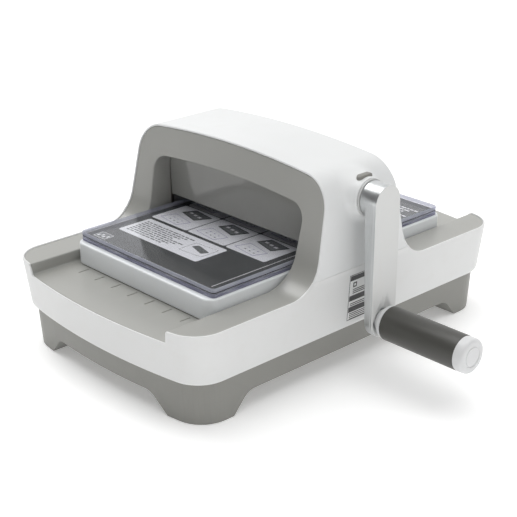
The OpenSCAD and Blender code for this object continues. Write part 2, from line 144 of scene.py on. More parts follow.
def softened(points, radii, n=4, closed=True):
    """A polygon with each corner rounded by its own radius; 0 keeps it sharp"""
    out = []
    m = len(points)
    for i, (c, r) in enumerate(zip(points, radii)):
        if r <= 0 or (not closed and i in (0, m - 1)):
            out.append(tuple(c))
        else:
            out += corner(points[i - 1], c, points[(i + 1) % m], r, n)
    return out


def add_solid(bm, pts, faces, finish=0):
    """Adds a closed solid to a mesh, with the number of the material that it takes"""
    made = [bm.verts.new(((p[0] + MID_X) * MM, p[1] * MM, p[2] * MM)) for p in pts]
    for f in faces:
        f = list(dict.fromkeys(f))
        if len(f) > 2:
            bm.faces.new([made[i] for i in f]).material_index = finish
    bmesh.ops.remove_doubles(bm, verts=made, dist=2e-6)


def finish_mesh(bm, name, sharp):
    bmesh.ops.dissolve_degenerate(bm, dist=1e-7, edges=bm.edges[:])
    bmesh.ops.recalc_face_normals(bm, faces=bm.faces[:])
    mesh = bpy.data.meshes.new(name)
    bm.to_mesh(mesh)
    bm.free()
    mesh.polygons.foreach_set("use_smooth", [True] * len(mesh.polygons))
    mesh.set_sharp_from_angle(angle=radians(sharp))
    return mesh


def piece(name, body, solids, material, stands_for=(), sharp=32.0, trim=None):
    """One object from closed solids, riding on a body and standing for CAD nodes"""
    bm = bmesh.new()
    for solid in solids:
        add_solid(bm, *solid)
    if trim:
        for z, keep_above in trim:
            cut_flat(bm, z, keep_above)
    obj = bpy.data.objects.new(name, finish_mesh(bm, name, sharp))
    bpy.context.scene.collection.objects.link(obj)
    for m in material if isinstance(material, (list, tuple)) else [material]:
        obj.data.materials.append(m)
    w = obj.modifiers.new("normals", "WEIGHTED_NORMAL")
    w.keep_sharp = True
    w.mode = "FACE_AREA"
    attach(obj, body)
    if stands_for:
        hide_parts(*stands_for)
    return obj


def cut_flat(bm, z, keep_above):
    """Cuts the mesh at a height and closes what it opened"""
    cut = bmesh.ops.bisect_plane(
        bm,
        geom=bm.verts[:] + bm.edges[:] + bm.faces[:],
        plane_co=(0, 0, z * MM),
        plane_no=(0, 0, -1 if keep_above else 1),
        clear_outer=True,
        dist=1e-7,
    )
    edges = [e for e in cut["geom_cut"] if isinstance(e, bmesh.types.BMEdge)]
    bmesh.ops.edgenet_fill(bm, edges=edges)


# ------------------------ shapes of the housing
def corner_centre(hw, hl):
    """Centre of the band's corner in plan, and the angle where it runs into the bowed end"""
    cx, yc = hw - BAND_R, hl - BOW_R
    cy = yc + sqrt((BOW_R - BAND_R) ** 2 - cx * cx)
    return vec(cx, cy), atan2(cy - yc, cx)


def outline(hw, hl, f):
    """Point and outward direction on a quarter of the plan outline: f 0-1 runs along the side,
    1-2 round the corner and 2-3 along the bowed end"""
    centre, turn = corner_centre(hw, hl)
    if f <= 1:
        return vec(hw, centre[1] * f), vec(1, 0)
    if f <= 2:
        t = turn * (f - 1)
        d = ray(t)
        return centre + BAND_R * d, d
    t = turn + (pi / 2 - turn) * (f - 2)
    d = ray(t)
    return vec(0, hl - BOW_R) + BOW_R * d, d


def run_lengths(hw, hl):
    """Distance along the quarter outline to the ends of its side, its corner and its bowed end"""
    centre, turn = corner_centre(hw, hl)
    u1 = centre[1]
    u2 = u1 + BAND_R * turn
    return u1, u2, u2 + BOW_R * (pi / 2 - turn)


def band_size(z):
    """Half width and half length of the band at a height"""
    t = (z - BAND_FOOT_Z) / (SEAM_Z - BAND_FOOT_Z)
    return BAND_FOOT_X + FLARE_X * t, BAND_FOOT_Y + FLARE_Y * t


U1, U2, U3 = run_lengths(*band_size(RIM_Z))


def band_f(u):
    """Share along the quarter outline at a run length u"""
    if u <= U1:
        return u / U1
    if u <= U2:
        return 1 + (u - U1) / (U2 - U1)
    return 2 + (u - U2) / (U3 - U2)


def band_point(u, z, n):
    """On the band's outside at run length u and height z, n outwards"""
    p, d = outline(*band_size(z), band_f(u))
    p = p + d * n
    return vec(p[0], p[1], z)


def run_at_x(x):
    """Run length where the bowed end of the band passes x"""
    return U3 - BOW_R * asin(x / BOW_R)


def edge_y(z):
    """Half depth of the arch's leaning faces at a height"""
    return ARCH_YA + (ARCH_Z - z) * tan(LEAN)


SWEEP_Z = RIM_Z + SWEEP_R
SWEEP_Y = edge_y(SWEEP_Z) + SWEEP_R / cos(LEAN)


def saddle_y(z):
    """Half depth of the arch's rim at a height, with the sweep at its foot"""
    if z >= SWEEP_Z - SWEEP_R * sin(LEAN):
        return edge_y(z)
    s = (SWEEP_Z - z) / SWEEP_R
    return SWEEP_Y - SWEEP_R * sqrt(max(0.0, 1 - s * s))


def rim_round(z):
    """Radius of the white rim's outer edge, which grows a little from the band to the arch"""
    return lerp(0.8, 1.1, min(1.0, max(0.0, (z - 75) / 15)))


def side_x(z, d=0.0):
    """Half width of the arch's leaning sides at a height, d inside them"""
    return COVER_X - d / cos(SIDE_LEAN) - (z - SEAM_Z) * tan(SIDE_LEAN)


def top_centre():
    """Centre of the arc between the arch's side and its crown"""
    reach = COVER_X * cos(SIDE_LEAN) + SEAM_Z * sin(SIDE_LEAN) - TOP_R
    a, b = reach / cos(SIDE_LEAN), tan(SIDE_LEAN)
    zc, k = ARCH_Z - CROWN_R, CROWN_R - TOP_R
    h, g = a * b + zc, 1 + b * b
    z = (h + sqrt(h * h - g * (a * a + zc * zc - k * k))) / g
    return vec(a - b * z, z)


TOP_C = top_centre()
TOP_A = atan2(TOP_C[1] - (ARCH_Z - CROWN_R), TOP_C[0])


def arch_point(kind, v, d=0.0):
    """Point and outward direction on the arch's right half seen from the front, d inside it:
    kind side with v a height, corner with v an angle, or crown with v an angle"""
    if kind == "side":
        return vec(side_x(v, d), v), ray(SIDE_LEAN)
    n = ray(v)
    if kind == "corner":
        return TOP_C + (TOP_R - d) * n, n
    return vec(0, ARCH_Z - CROWN_R) + (CROWN_R - d) * n, n


def steps(a, b, n, first=True):
    """n even steps from a to b, with or without the first value"""
    return [lerp(a, b, i / n) for i in range(0 if first else 1, n + 1)]


# ------------------------ band
def top_line():
    """(run length, height) along the band's top edge, from the side's middle to the end's middle"""
    z_over = 88.0
    y_over = saddle_y(z_over)
    pts = [(t * y_over, z_over) for t in (0, 0.5, 0.9)]
    a0 = asin((z_over - SWEEP_Z) / SWEEP_R)
    for a in steps(pi - a0, 1.5 * pi, 14):
        pts.append((SWEEP_Y + SWEEP_R * cos(a), SWEEP_Z + SWEEP_R * sin(a)))
    pts += [(u, RIM_Z) for u in steps(SWEEP_Y, U1, 4, False)]
    pts += [(u, RIM_Z) for u in steps(U1, U2, 12, False)]
    un = run_at_x(CHAN_X)
    r1, r2, slant = 1.9, 1.3, 0.25
    for a in steps(90, 0, 5):
        t = radians(a)
        pts.append((un - slant - r1 + r1 * cos(t), RIM_Z - r1 + r1 * sin(t)))
    for a in steps(180, 270, 4):
        t = radians(a)
        pts.append((un + slant + r2 + r2 * cos(t), CHAN_Z + r2 + r2 * sin(t)))
    pts += [(u, CHAN_Z) for u in steps(un + slant + r2, U3, 8, False)]
    return pts


def band_rings():
    """Sections of a quarter of the band: up the outside, over the rim and down the inside"""
    line = top_line()
    rings = []
    n = len(line)
    z_low, n_low, z_turn, foot_wall, lip = 33.6, 1.9, 36.4, 2.9, 0.4
    for k, (u, z) in enumerate(line):
        a, b = line[max(0, k - 1)], line[min(n - 1, k + 1)]
        t = unit(vec(b[0] - a[0], b[1] - a[1]))
        down = vec(t[1], -t[0])
        if k in (0, n - 1):
            down = vec(0, -1)
        r = rim_round(z)
        ring = []
        ue, ze = vec(u, z) + down * r
        for i in range(5):
            q = radians(90 - 22.5 * i)
            ring.append(
                band_point(ue, z_turn - (z_turn - z_low) * sin(q), -n_low * (1 - cos(q)))
            )
        for i in range(1, 5):
            ring.append(band_point(ue, lerp(z_turn, ze, i / 5), 0))
        for i in range(6):
            q = radians(18 * i)
            off = vec(u, z) + down * r * (1 - sin(q))
            ring.append(band_point(off[0], off[1], -r * (1 - cos(q))))
        ring.append(band_point(u, z, -(WALL - lip)))
        ui, zi = vec(u, z) + down * lip
        ring.append(band_point(ui, zi, -WALL))
        ring.append(band_point(ui, z_low, -foot_wall))
        rings.append(ring)
    return rings


def mirrored(ring, sx, sy):
    return [vec(sx * p[0], sy * p[1], p[2]) for p in ring]


def all_round(quarter):
    """Quarter rings from the side's middle to the end's middle, carried round the whole plan"""
    second = [mirrored(r, -1, 1) for r in quarter[::-1]][1:]
    third = [mirrored(r, -1, -1) for r in quarter][1:]
    last = [mirrored(r, 1, -1) for r in quarter[::-1]][1:-1]
    return quarter + second + third + last


# ------------------------ arch cover
SIDE_ROWS = (79, 84, 90, 96, 102, 108, 113, 118, 122, 126)
SHOULDER_STEPS = 18
CROSS_ROWS = [-26 + 3.25 * i for i in range(17)]
EDGE_STEPS = 6
BOSS_BLEND = 8.0
BOSS_BACK = 93.0  # the boss starts this far out, inside the cover


def arch_half():
    """The arch's right half from its foot to the crown: (point, outward direction)"""
    out = [arch_point("side", z) for z in SIDE_ROWS]
    out += [arch_point("corner", a) for a in steps(SIDE_LEAN, TOP_A, SHOULDER_STEPS)]
    out += [arch_point("crown", a) for a in steps(TOP_A, pi / 2, 12, False)]
    return out


def boss_field(p):
    """Signed distance to the arch's side with the crank's boss blended into it"""
    x, y, z = p
    rel = vec(x, z) - TOP_C
    ang = atan2(rel[1], rel[0])
    if ang < SIDE_LEAN:
        base = (x - side_x(z)) * cos(SIDE_LEAN)
    elif ang < TOP_A:
        base = hypot(*rel) - TOP_R
    else:
        base = hypot(x, z - (ARCH_Z - CROWN_R)) - CROWN_R
    mid, half, edge = (BOSS_X + BOSS_BACK) / 2, (BOSS_X - BOSS_BACK) / 2, 1.0
    q = (hypot(y, z - CRANK_Z) - (BOSS_R - edge), abs(x - mid) - (half - edge))
    boss = min(max(q), 0.0) + hypot(max(q[0], 0), max(q[1], 0)) - edge
    h = max(BOSS_BLEND - abs(base - boss), 0.0) / BOSS_BLEND
    return min(base, boss) - h * h * BOSS_BLEND / 4


def onto_boss(p):
    """The point moved onto the blended surface by a few steps down the field's slope"""
    e = 0.01
    for _ in range(14):
        f = boss_field(p)
        g = vec(
            *[(boss_field(p + e * d) - boss_field(p - e * d)) / (2 * e) for d in np.eye(3)]
        )
        p = p - f * g / max(g @ g, 1e-6)
        if abs(f) < 1e-4:
            break
    return p


def cover_rings():
    """Sections of the cover, from its rear lip round the outside to its front lip"""
    half = arch_half()
    left = [(vec(-p[0], p[1]), vec(-n[0], n[1])) for p, n in half[:-1]]
    line = half + left[::-1]
    lip = 0.4
    rings = []
    for k, (p, direction) in enumerate(line):
        a, b = line[max(0, k - 1)][0], line[min(len(line) - 1, k + 1)][0]
        along = unit(vec(b[0] - a[0], saddle_y(b[1]) - saddle_y(a[1]), b[1] - a[1]))
        outward = vec(direction[0], 0, direction[1])
        inward = unit(np.cross(outward, along))
        if inward[1] > 0:
            inward = -inward
        r = rim_round(p[1])
        rim = vec(p[0], saddle_y(p[1]), p[1])
        rear = [rim - outward * WALL + inward * lip, rim - outward * (WALL - lip)]
        for i in range(EDGE_STEPS):
            q = radians(90 - 90 / (EDGE_STEPS - 1) * i)
            rear.append(rim + inward * r * (1 - sin(q)) - outward * r * (1 - cos(q)))
        last = rear[-1]
        rows = [lerp(CROSS_ROWS[-1], last[1], w) for w in (2 / 3, 1 / 3)]
        across = rows + CROSS_ROWS[::-1] + [-y for y in rows[::-1]]
        outer = [vec(p[0], y, p[1]) for y in across]
        # inward shifts a point along the profile too, so the outermost rows follow the edge's foot
        for j, w in ((0, 2 / 3), (1, 1 / 3)):
            shift = (last - vec(p[0], last[1], p[1])) * w
            outer[j] = outer[j] + shift
            outer[-1 - j] = outer[-1 - j] + shift
        rings.append(rear + outer + mirrored(rear[::-1], 1, -1))
    return rings


def cover_solid():
    """The cover, with the part of its grid that the boss grows out of drawn as rings round it"""
    rings = cover_rings()
    pts, faces = loft(rings)
    m = len(rings[0])
    j0 = EDGE_STEPS + 4
    j1 = j0 + len(CROSS_ROWS) - 1
    k0 = 5
    k1 = len(SIDE_ROWS) + SHOULDER_STEPS + 2
    kept = []
    for f in faces:
        k, j = divmod(f[0], m)
        replaced = len(f) == 4 and f[1] == f[0] + 1 and k0 <= k < k1 and j0 <= j < j1
        if not replaced:
            kept.append(f)
    border = (
        [(k0, j) for j in range(j0, j1)]
        + [(k, j1) for k in range(k0, k1)]
        + [(k1, j) for j in range(j1, j0, -1)]
        + [(k, j0) for k in range(k1, k0, -1)]
    )
    outer = [rings[k][j] for k, j in border]
    spokes = []
    for p in outer:
        # height along the bent side, so that corners of the patch spread evenly
        rise = p[2] - CRANK_Z + 0.8 * max(0.0, side_x(p[2]) - p[0])
        a = atan2(rise, p[1])
        spokes.append(vec(0, cos(a), sin(a)))
    rows = []
    count, foot_r, foot_deep = 18, 17, 6
    for i in range(1, count + 1):
        s = 1 - (1 - i / count) ** 1.25
        row = []
        for p, d in zip(outer, spokes):
            rim = vec(BOSS_X - 0.2, 0, CRANK_Z) + (BOSS_R - 0.3) * d
            foot = vec(side_x(CRANK_Z) - foot_deep, 0, CRANK_Z) + foot_r * d
            row.append(onto_boss((1 - s) ** 2 * p + 2 * s * (1 - s) * foot + s * s * rim))
        rows.append(row)
    for r in (BOSS_R - 1.6, 9.0):
        rows.append([vec(BOSS_X, 0, CRANK_Z) + r * d for d in spokes])
    count = len(border)
    grid = [[k * m + j for k, j in border]]
    for row in rows:
        grid.append(list(range(len(pts), len(pts) + count)))
        pts += row
    for a, b in zip(grid, grid[1:]):
        for i in range(count):
            j = (i + 1) % count
            kept.append((a[i], a[j], b[j], b[i]))
    kept.append(tuple(grid[-1]))
    return pts, kept


# ------------------------ grey trays
SADDLE_R = SWEEP_R + TRAY_D
ARC_LEN = SADDLE_R * (pi / 2 - LEAN)


def saddle_run(s, lift=0.0):
    """(y, z) and its outward (y, z) at unrolled distance s along the grey saddle: s below 0 lies
    flat on the shelf, then comes the sweep, then the arch's leaning face"""
    if s <= 0:
        p, n = vec(SWEEP_Y - s, RIM_Z - TRAY_D), vec(0, 1)
    else:
        n = -ray(1.5 * pi - min(s, ARC_LEN) / SADDLE_R)
        p = vec(SWEEP_Y, SWEEP_Z) - SADDLE_R * n
        p = p + max(0.0, s - ARC_LEN) * vec(-sin(LEAN), cos(LEAN))
    return p + n * lift, n


def run_of_z(z):
    """Unrolled distance at a height on the leaning face"""
    z0 = saddle_run(ARC_LEN)[0][1]
    return ARC_LEN + (z - z0) / cos(LEAN)


def leg_x(z):
    """Half width of the mouth up to its corner"""
    foot_z = RIM_Z - 1
    if z <= foot_z:
        return CHAN_X
    if z <= KNEE_Z:
        return lerp(CHAN_X, KNEE_X, (z - foot_z) / (KNEE_Z - foot_z))
    return lerp(KNEE_X, MOUTH_X, (z - KNEE_Z) / (MOUTH_Z - KNEE_Z))


def mouth_line(turn_steps, top_steps, wider=0.0):
    """(x, z) round the mouth's corner and along its raised top to the middle"""
    out = []
    for a in steps(0, MOUTH_TURN, turn_steps):
        t = radians(a)
        x = MOUTH_X + wider - MOUTH_R + MOUTH_R * cos(t)
        out.append(vec(x, MOUTH_Z + wider + MOUTH_R * sin(t)))
    x_last, z_last = out[-1]
    for t in steps(0, 1, top_steps, False):
        rise = (MOUTH_TOP + wider - z_last) * (1 - (1 - t) ** 2)
        out.append(vec(x_last * (1 - t), z_last + rise))
    return out


def sweep_outer_x(z, gap):
    """Half width of the grey face beside the sweep: from inside the band up to inside the cover"""
    if z > SEAM_Z:
        return side_x(z, gap)
    t = (z - RIM_Z) / (SEAM_Z - RIM_Z)
    return lerp(band_size(RIM_Z)[0] - gap, side_x(SEAM_Z, gap), t)


def tray_columns():
    """(inner x, inner run, outer x, outer run, zone) from the shelf's front to the arch's middle"""
    gap = WALL + 0.02
    cols = []
    nose_u = run_at_x(CHAN_X)
    nose_s = SWEEP_Y - band_point(nose_u, RIM_Z, -gap)[1]
    for t in steps(0, 1, 18):
        o = band_point(lerp(nose_u, SWEEP_Y, t**0.9), RIM_Z, -gap)
        cols.append([CHAN_X, lerp(nose_s, 0, t), o[0], SWEEP_Y - o[1], "shelf"])
    for s in steps(0, ARC_LEN, 12, False):
        z = saddle_run(s)[0][1]
        cols.append([leg_x(z), s, sweep_outer_x(z, gap), s, "sweep"])
    for z in steps(saddle_run(ARC_LEN)[0][1], MOUTH_Z, 4, False):
        cols.append([leg_x(z), run_of_z(z), side_x(z, gap), run_of_z(z), "leg"])
    # round the mouth's corner and the arch's shoulder, then along both tops
    turn_steps, top_steps = 10, 8
    side_len = TOP_C[1] + (TOP_R - gap) * sin(SIDE_LEAN) - MOUTH_Z
    arc_len = (TOP_R - gap) * (TOP_A - SIDE_LEAN)
    for i, (x, z) in enumerate(mouth_line(turn_steps, top_steps)):
        q = (side_len + arc_len) * i / turn_steps
        if i == 0:
            continue
        if i > turn_steps:
            turn = lerp(TOP_A, pi / 2, (i - turn_steps) / top_steps)
            o = arch_point("crown", turn, gap)[0]
        elif q < side_len:
            o = arch_point("side", MOUTH_Z + q, gap)[0]
        else:
            o = arch_point("corner", SIDE_LEAN + (q - side_len) / (TOP_R - gap), gap)[0]
        cols.append([x, run_of_z(z), o[0], run_of_z(o[1]), "over"])
    return cols


def saddle_at(x, s, lift=0.0):
    """The point on the grey saddle at x and unrolled distance s"""
    p, _ = saddle_run(s, lift)
    return vec(x, p[0], p[1])


def tray_rings():
    """Sections of half a tray: across the face, over the mouth's edge and down or in behind it"""
    cols = tray_columns()
    n = len(cols)
    thick, floor_t, deep, edge_r = 2.4, 2.8, 3.2, 1.3
    rings = []
    for k, (xi, si, xo, so, zone) in enumerate(cols):
        a, b = cols[max(0, k - 1)], cols[min(n - 1, k + 1)]
        along = unit(vec(b[0] - a[0], b[1] - a[1]))
        if zone == "shelf":
            along = vec(0, 1)
        if k == n - 1:
            along = vec(-1, 0)
        D = vec(along[1], -along[0])  # from the opening into the face, in the unrolled plane
        C = saddle_at(xi, si)
        normal = saddle_run(si)[1]
        N = vec(0, normal[0], normal[1])
        out_dir = vec(D[0], 0, 0) + D[1] * unit(saddle_at(0, si + 0.01) - saddle_at(0, si))
        # where the wall behind the edge ends, and which way its foot turns
        if zone == "shelf":
            target, foot, foot_r = vec(xi, C[1], CHAN_Z), vec(-1, 0, 0), 1.6
        elif zone == "sweep":
            w = si / ARC_LEN
            target = vec(CHAN_X, lerp(SWEEP_Y, SHIELD_Y1, w), CHAN_Z)
            foot, foot_r = vec(-1, 0, 0), lerp(1.6, 0.1, w)
        else:
            w = (si - ARC_LEN) / (run_of_z(MOUTH_Z) - ARC_LEN)
            target = vec(xi, SHIELD_Y1, lerp(CHAN_Z, MOUTH_Z, w) if zone == "leg" else C[2])
            foot, foot_r = unit(vec(D[0], 0, D[1])), 0.5
        W = unit(target - C)
        start = vec(xi, si) + D * (edge_r if k else 0.0)
        # across the face, from the outer edge to the mouth's edge
        outer = vec(xo, so)
        span = max(np.linalg.norm(outer - start), 1e-6)
        lip = min(0.4, span * 0.4)
        edge_in = outer + (start - outer) * (lip / span)
        ring = [saddle_at(*outer, -deep), saddle_at(*outer, -0.35)]
        ring += [saddle_at(*lerp(edge_in, start, t)) for t in (0.0, 0.25, 0.5, 0.75)]
        ring += bezier(saddle_at(*start), C, C + W * edge_r, 5)
        far = target - W * foot_r
        ring += [lerp(C + W * edge_r, far, t) for t in (0.25, 0.5, 0.75)]
        end = target + foot * foot_r
        ring += bezier(far, target, end, 4)
        if zone in ("shelf", "sweep"):
            ring.append(vec(end[0], end[1], CHAN_Z - floor_t))
            ring.append(vec(xi + thick, target[1], CHAN_Z - floor_t))
        else:
            ring.append(target + foot * lerp(foot_r, thick, 0.5))
            ring.append(target + foot * thick)
        ring.append(C + out_dir * thick - N * deep)
        if zone == "shelf":
            # the shelf's nose follows the lean of the band behind it
            lean = 0.16 * si / cols[0][1]
            ring = [q - vec(0, lean * max(0.0, C[2] - q[2]), 0) for q in ring]
        rings.append(ring)
    return rings


def tray_floor(marks):
    """The channel's floor with its sunk scale marks, as one closed slab lofted across the machine"""
    x_half, thick, gap = CHAN_X - 1.6, 2.8, WALL + 0.05
    mark_x, mark_half, mark_wall, depth = [20 * i for i in range(-3, 4)], 0.42, 0.12, 0.6
    mark_y0, mark_y1, ramp = 126.5, 136.0, 0.2
    marked = [(mark_y0, 0), (mark_y0 + ramp, 1), (mark_y1 - ramp, 1), (mark_y1, 0)]
    xs = set(steps(-x_half, x_half, 24))
    if marks:
        for c in mark_x:
            for side in (mark_half, mark_half + mark_wall):
                xs |= {c - side, c + side}
    rings = []
    for x in sorted(xs):
        sunk = marks and any(abs(x - c) < mark_half + 0.01 for c in mark_x)
        front = band_point(run_at_x(abs(x)), CHAN_Z, -gap)[1]
        rows = [(10.5, 0), (60, 0), (100, 0)] + marked + [(150, 0), (front, 0)]
        top = [vec(x, y, CHAN_Z - depth * low * sunk) for y, low in rows]
        rings.append(top + [vec(x, p[1], CHAN_Z - thick) for p in top[::-1]])
    return loft(rings)


def tray(name, node, sign, marks):
    """A whole tray with its floor: sign -1 for the front, 1 for the rear"""
    half = tray_rings()
    left = [mirrored(ring, -1, 1) for ring in half[::-1]][1:]
    rings = [mirrored(ring, 1, sign) for ring in half + left]
    pts, faces = tray_floor(marks)
    floor_slab = (mirrored(pts, 1, sign), faces)
    return piece(
        name, "housing", [loft(rings), floor_slab], grey_tray, [node], sharp=38
    )


# ------------------------ flat and turned parts
def arc_path(centre, r, a0, a1, n):
    """Points and outward directions round part of a circle"""
    out = []
    for a in steps(radians(a0), radians(a1), n):
        out.append((centre + r * ray(a), ray(a)))
    return out


def stadium(x, low, high, r, n=24):
    """Points and outward directions round a slot shape with its ends centred at low and high"""
    return arc_path(vec(x, high), r, 0, 180, n) + arc_path(vec(x, low), r, 180, 360, n)


def plate(path, z0, z1, top=0.5, low=0.5, n=3, place=lambda x, y, z: vec(x, y, z)):
    """A flat plate with rounded edges from a path of (point, outward direction)"""
    rings = []
    for i in range(n + 1):
        q = pi / 2 * (1 - i / n)
        rings.append((low * (1 - cos(q)), z0 + low * (1 - sin(q))))
    for i in range(n + 1):
        q = pi / 2 * i / n
        rings.append((top * (1 - cos(q)), z1 - top * (1 - sin(q))))
    out = []
    for inset, z in rings:
        out.append([place(*(p - d * inset), z) for p, d in path])
    return loft(out)


def flat_plate(half_x, length, r, z0, z1, n_corner=6, **edges):
    """A rectangular plate with rounded corners, lying on the platform's own middle"""
    cx, cy = half_x - r, length / 2 - r
    path = []
    for k, (sx, sy) in enumerate(((1, 1), (-1, 1), (-1, -1), (1, -1))):
        centre = vec(sx * cx, PLAT_Y + sy * cy)
        path += arc_path(centre, r, 90 * k, 90 * k + 90, n_corner)
    return plate(path, z0, z1, **edges)


def arm_solid():
    """The crank's arm up to its inlay; its back leans in towards the housing further up"""
    path = stadium(0, GRIP_Z, CRANK_Z, ARM_W)
    rings = []
    edge, back_low, back_high, lean_z, lean_run = 1.2, 123.2, 119.0, 50, 110
    for i in range(5):
        q = pi / 2 * (1 - i / 4)
        ring = []
        for p, d in path:
            y, z = p - d * edge * (1 - cos(q))
            back = lerp(back_low, back_high, min(1, max(0, (z - lean_z) / lean_run)))
            ring.append(vec(back + edge * (1 - sin(q)), y, z))
        rings.append(ring)
    for inset, x in ((0, INLAY_X - 0.15), (0.15, INLAY_X)):
        rings.append([vec(x, *(p - d * inset)) for p, d in path])
    return loft(rings)


def head_solid():
    """The round boss on the back of the arm's head"""
    x0, x1, r = 115.3, 126.0, ARM_W - 0.02
    return lathe(softened([(x0, 0), (x0, r), (x1, r), (x1, 0)], [0, 0.7, 0, 0], closed=False), CRANK_Z)


def inlay_solid():
    """The arm's outer face, dished round the grip; the dish runs out further up the arm"""
    r_face, r_deep, edge, deep, reach = 12.0, 9.4, 0.4, 1.9, 0.95
    outer = stadium(0, GRIP_Z, CRANK_Z, ARM_W, 32)
    centre = vec(0, GRIP_Z)
    rings = []

    def outer_ring(inset, x):
        rings.append([vec(x, *(p - d * inset)) for p, d in outer])

    def dish_ring(r, x, reach):
        ring = []
        for p, _ in outer:
            d = unit(p - centre)
            ring.append(vec(x, *(centre + r * (1 + reach * max(0.0, d[1]) ** 2.5) * d)))
        rings.append(ring)

    outer_ring(0.15, INLAY_X + 0.02)
    outer_ring(0, INLAY_X + 0.2)
    for i in range(4):
        q = pi / 2 * i / 3
        outer_ring(edge * (1 - cos(q)), FACE_X - edge * (1 - sin(q)))
    # close rings on both borders of the flat face keep its shading even
    for spare in (0.15, 0.45):
        outer_ring(edge + spare, FACE_X)
    dish_ring(r_face + 0.15, FACE_X, reach)
    for t in steps(0, 1, 12):
        depth = deep * (0.5 - 0.5 * cos(pi * t)) ** 0.9
        dish_ring(lerp(r_face, r_deep, t), FACE_X - depth, reach * (1 - t))
    dish_ring(r_deep - 0.1, INLAY_X + 0.02, 0)
    return loft(rings, path_closed=True)


def button_solid():
    """The button over the boss, its top bent with it; rows are (inset, depth below the top)"""
    path = stadium(BUTTON_X, -BUTTON_Y, BUTTON_Y, BUTTON_R, 14)
    r_top, foot_z = BOSS_R + 2.2, CRANK_Z + 11.3
    rings = [[vec(*(p - d * 0.3), foot_z) for p, d in path]]
    rows = ((0, 2.4), (0, 0.8), (0.1, 0.45), (0.35, 0.14), (0.8, 0.0), (1.6, -0.05), (2.6, -0.08))
    for inset, drop in rows:
        ring = []
        for p, d in path:
            x, y = p - d * inset
            ring.append(vec(x, y, CRANK_Z + sqrt(r_top**2 - y**2) - drop))
        rings.append(ring)
    return loft(rings)


# ------------------------ materials
class Finish:
    """A node material put together step by step"""

    def __init__(self, name):
        self.mat = bpy.data.materials.new(name)
        self.mat.use_nodes = True
        self.tree = self.mat.node_tree
        self.tree.nodes.clear()
        self.out = self.node("ShaderNodeOutputMaterial")
        self.coord = self.node("ShaderNodeTexCoord").outputs["Object"]

    def node(self, kind, **settings):
        n = self.tree.nodes.new(kind)
        for k, v in settings.items():
            if hasattr(n, k) and k not in n.inputs:
                setattr(n, k, v)
            else:
                n.inputs[k].default_value = v
        return n

    def link(self, a, b):
        self.tree.links.new(a, b)

    def noise(self, scale, detail=2.0, rough=0.5, squash=None):
        n = self.node("ShaderNodeTexNoise", Scale=scale, Detail=detail, Roughness=rough)
        src = self.coord
        if squash:
            m = self.node("ShaderNodeMapping", Scale=squash)
            self.link(src, m.inputs["Vector"])
            src = m.outputs["Vector"]
        self.link(src, n.inputs["Vector"])
        return n.outputs["Fac"]

    def remap(self, value, a, b, lo, hi):
        m = self.node("ShaderNodeMapRange")
        for key, v in (("From Min", a), ("From Max", b), ("To Min", lo), ("To Max", hi)):
            m.inputs[key].default_value = v
        self.link(value, m.inputs["Value"])
        return m.outputs["Result"]

    def mix(self, fac, a, b):
        m = self.node("ShaderNodeMix", data_type="RGBA")
        for key, v in ((0, fac), (6, a), (7, b)):
            if hasattr(v, "is_output"):
                self.link(v, m.inputs[key])
            elif key == 0:
                m.inputs[0].default_value = v
            else:
                m.inputs[key].default_value = (*v, 1.0)
        return m.outputs[2]

    def bump(self, height, strength, distance, after=None):
        b = self.node("ShaderNodeBump", Strength=strength, Distance=distance)
        self.link(height, b.inputs["Height"])
        if after is not None:
            self.link(after, b.inputs["Normal"])
        return b.outputs["Normal"]

    def edges(self):
        g = self.node("ShaderNodeNewGeometry")
        return self.remap(g.outputs["Pointiness"], 0.52, 0.6, 0.0, 1.0)

    def surface(self, colour=None, rough=None, normal=None, **fixed):
        p = self.node("ShaderNodeBsdfPrincipled")
        for key, v in (("Base Color", colour), ("Roughness", rough), ("Normal", normal)):
            if v is None:
                continue
            if hasattr(v, "is_output"):
                self.link(v, p.inputs[key])
            else:
                p.inputs[key].default_value = (*v, 1.0) if key == "Base Color" else v
        for k, v in fixed.items():
            p.inputs[k.replace("_", " ")].default_value = v
        self.link(p.outputs["BSDF"], self.out.inputs["Surface"])
        return p

    def see_through(self, surface, tint, share):
        """Blends the surface, by its share, over clear tinted plastic"""
        see = self.node("ShaderNodeBsdfTransparent", Color=(*tint, 1.0))
        mixer = self.node("ShaderNodeMixShader", Fac=share)
        self.link(see.outputs["BSDF"], mixer.inputs[1])
        self.link(surface.outputs["BSDF"], mixer.inputs[2])
        self.link(mixer.outputs["Shader"], self.out.inputs["Surface"])
        return mixer


def moulded(name, colour, rough=0.42, depth=0.06, mottle=0.04, gloss=0.5, wear=1.08):
    """Moulded plastic: fine spark grain, slow colour drift, a little handling wear on edges"""
    f = Finish(name)
    base = vec(*colour)
    dull, fresh = tuple(base * (1 - mottle)), tuple(base * (1 + mottle * 0.5))
    speck = tuple(base * vec(1.0, 0.99, 0.975) * (1 - 0.8 * mottle))
    c = f.mix(f.remap(f.noise(9.0, 3.0), 0.3, 0.7, 0.0, 1.0), dull, fresh)
    c = f.mix(f.remap(f.noise(95.0, 4.0, 0.62), 0.5, 0.8, 0.0, 0.5), c, speck)
    c = f.mix(f.edges(), c, tuple(np.minimum(base * wear, 0.93)))
    r = f.remap(f.noise(12.0, 3.0, 0.5), 0.3, 0.7, rough - 0.03, rough + 0.04)
    soft = f.bump(f.noise(220.0, 2.0), 0.012, 0.0004)
    normal = f.bump(f.noise(1500.0, 2.0, 0.55), depth, 0.0002, soft)
    f.surface(c, r, normal, Specular_IOR_Level=gloss)
    return f.mat


